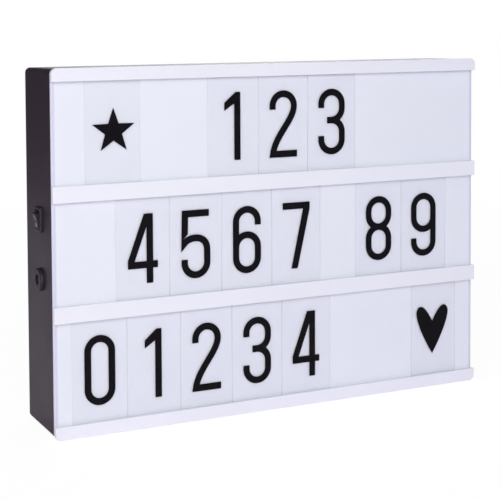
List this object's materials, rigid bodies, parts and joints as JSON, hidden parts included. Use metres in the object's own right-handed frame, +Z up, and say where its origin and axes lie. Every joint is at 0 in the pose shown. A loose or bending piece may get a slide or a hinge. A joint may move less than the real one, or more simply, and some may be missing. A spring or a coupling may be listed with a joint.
{
  "type": "cinema light box",
  "caption": "Tabletop cinema light box with an opal front, white letter rails with loose clear letter tiles, and a black tub with a rocker switch, power socket and battery bay.",
  "frame": {"origin": "on the surface that the box stands on, under the middle of its width and of its depth from the rails' faces to the back", "axes": "+X to the right seen from the front, +Y into the box from the front to the back, +Z up"},
  "size_m": [0.3033, 0.055, 0.22],
  "materials": {
    "opal_plastic": "satin",
    "white_plastic": "satin",
    "black_plastic": "fine grain",
    "clear_tile": "clear",
    "foot_rubber": "matt",
    "screw_steel": "zinc plated",
    "strip_white": "solder mask",
    "lamp_resin": "clear resin over phosphor",
    "wire_sheath": "soft",
    "board_green": "solder mask",
    "component_black": "moulded",
    "switch_black": "satin",
    "contact_brass": "tinned",
    "bright_metal": "polished",
    "nut_metal": "plated",
    "cell_can": "printed sleeve",
    "contact_steel": "nickel plated"
  },
  "bodies": {
    "light_box": {"front_panel": "opal_plastic", "letter_rail_bottom": "white_plastic", "letter_rail_lower": "white_plastic", "letter_rail_upper": "white_plastic", "letter_rail_top": "white_plastic", "rear_housing": "black_plastic", "rear_foot_pads": "foot_rubber", "housing_screws": "screw_steel", "tray_screws": "screw_steel", "board_screws": "screw_steel", "reflector_tray": "white_plastic", "led_strip_lower": "strip_white", "led_strip_middle": "strip_white", "led_strip_upper": "strip_white", "led_chips": "lamp_resin", "strip_link_wires": "wire_sheath", "led_feed_wires": "wire_sheath", "driver_board": "board_green", "board_components": "component_black", "switch_body": "switch_black", "switch_terminals": "contact_brass", "switch_leads": "wire_sheath", "dc_socket_body": "switch_black", "dc_socket_pin": "bright_metal", "dc_socket_nut": "nut_metal", "dc_socket_terminals": "contact_brass", "socket_leads": "wire_sheath", "battery_cells": "cell_can", "battery_contacts": "contact_steel", "battery_springs": "contact_steel", "battery_leads": "wire_sheath"},
    "rocker": {"switch_rocker": "switch_black"},
    "door": {"battery_door": "black_plastic"},
    "tile_top_1": {"tile_top_1": "clear_tile"},
    "tile_top_2": {"tile_top_2": "clear_tile"},
    "tile_top_3": {"tile_top_3": "clear_tile"},
    "tile_top_4": {"tile_top_4": "clear_tile"},
    "tile_middle_1": {"tile_middle_1": "clear_tile"},
    "tile_middle_2": {"tile_middle_2": "clear_tile"},
    "tile_middle_3": {"tile_middle_3": "clear_tile"},
    "tile_middle_4": {"tile_middle_4": "clear_tile"},
    "tile_middle_5": {"tile_middle_5": "clear_tile"},
    "tile_middle_6": {"tile_middle_6": "clear_tile"},
    "tile_bottom_1": {"tile_bottom_1": "clear_tile"},
    "tile_bottom_2": {"tile_bottom_2": "clear_tile"},
    "tile_bottom_3": {"tile_bottom_3": "clear_tile"},
    "tile_bottom_4": {"tile_bottom_4": "clear_tile"},
    "tile_bottom_5": {"tile_bottom_5": "clear_tile"},
    "tile_bottom_6": {"tile_bottom_6": "clear_tile"}
  },
  "joints": [
    {"name": "rocker_tilt", "type": "hinge", "parent": "light_box", "child": "rocker", "pos_m": [-0.1481, -0.0005, 0.1284], "axis": [0, 1, 0], "range_deg": [0, 24]},
    {"name": "battery_door_hinge", "type": "hinge", "parent": "light_box", "child": "door", "pos_m": [0, 0.0263, 0.03235], "axis": [-1, 0, 0], "range_deg": [0, 95]},
    {"name": "tile_top_1_slide", "type": "slide", "parent": "light_box", "child": "tile_top_1", "axis": [1, 0, 0], "range_m": [-0.0183, 0.0227]},
    {"name": "tile_top_2_slide", "type": "slide", "parent": "tile_top_1", "child": "tile_top_2", "axis": [1, 0, 0], "range_m": [-0.0451, 0.0227]},
    {"name": "tile_top_3_slide", "type": "slide", "parent": "tile_top_2", "child": "tile_top_3", "axis": [1, 0, 0], "range_m": [-0.00015, 0.0227]},
    {"name": "tile_top_4_slide", "type": "slide", "parent": "tile_top_3", "child": "tile_top_4", "axis": [1, 0, 0], "range_m": [-0.00015, 0.0228]},
    {"name": "tile_middle_1_slide", "type": "slide", "parent": "light_box", "child": "tile_middle_1", "axis": [1, 0, 0], "range_m": [-0.0371, 0.0033]},
    {"name": "tile_middle_2_slide", "type": "slide", "parent": "tile_middle_1", "child": "tile_middle_2", "axis": [1, 0, 0], "range_m": [-0.00015, 0.0033]},
    {"name": "tile_middle_3_slide", "type": "slide", "parent": "tile_middle_2", "child": "tile_middle_3", "axis": [1, 0, 0], "range_m": [-0.00015, 0.0033]},
    {"name": "tile_middle_4_slide", "type": "slide", "parent": "tile_middle_3", "child": "tile_middle_4", "axis": [1, 0, 0], "range_m": [-0.00015, 0.0033]},
    {"name": "tile_middle_5_slide", "type": "slide", "parent": "tile_middle_4", "child": "tile_middle_5", "axis": [1, 0, 0], "range_m": [-0.02665, 0.0033]},
    {"name": "tile_middle_6_slide", "type": "slide", "parent": "tile_middle_5", "child": "tile_middle_6", "axis": [1, 0, 0], "range_m": [-0.00015, 0.00354]},
    {"name": "tile_bottom_1_slide", "type": "slide", "parent": "light_box", "child": "tile_bottom_1", "axis": [1, 0, 0], "range_m": [-0.0087, 0.0019]},
    {"name": "tile_bottom_2_slide", "type": "slide", "parent": "tile_bottom_1", "child": "tile_bottom_2", "axis": [1, 0, 0], "range_m": [-0.00015, 0.0019]},
    {"name": "tile_bottom_3_slide", "type": "slide", "parent": "tile_bottom_2", "child": "tile_bottom_3", "axis": [1, 0, 0], "range_m": [-0.00015, 0.0019]},
    {"name": "tile_bottom_4_slide", "type": "slide", "parent": "tile_bottom_3", "child": "tile_bottom_4", "axis": [1, 0, 0], "range_m": [-0.00015, 0.0019]},
    {"name": "tile_bottom_5_slide", "type": "slide", "parent": "tile_bottom_4", "child": "tile_bottom_5", "axis": [1, 0, 0], "range_m": [-0.00015, 0.0019]},
    {"name": "tile_bottom_6_slide", "type": "slide", "parent": "tile_bottom_5", "child": "tile_bottom_6", "axis": [1, 0, 0], "range_m": [-0.0631, 0.00249]}
  ]
}
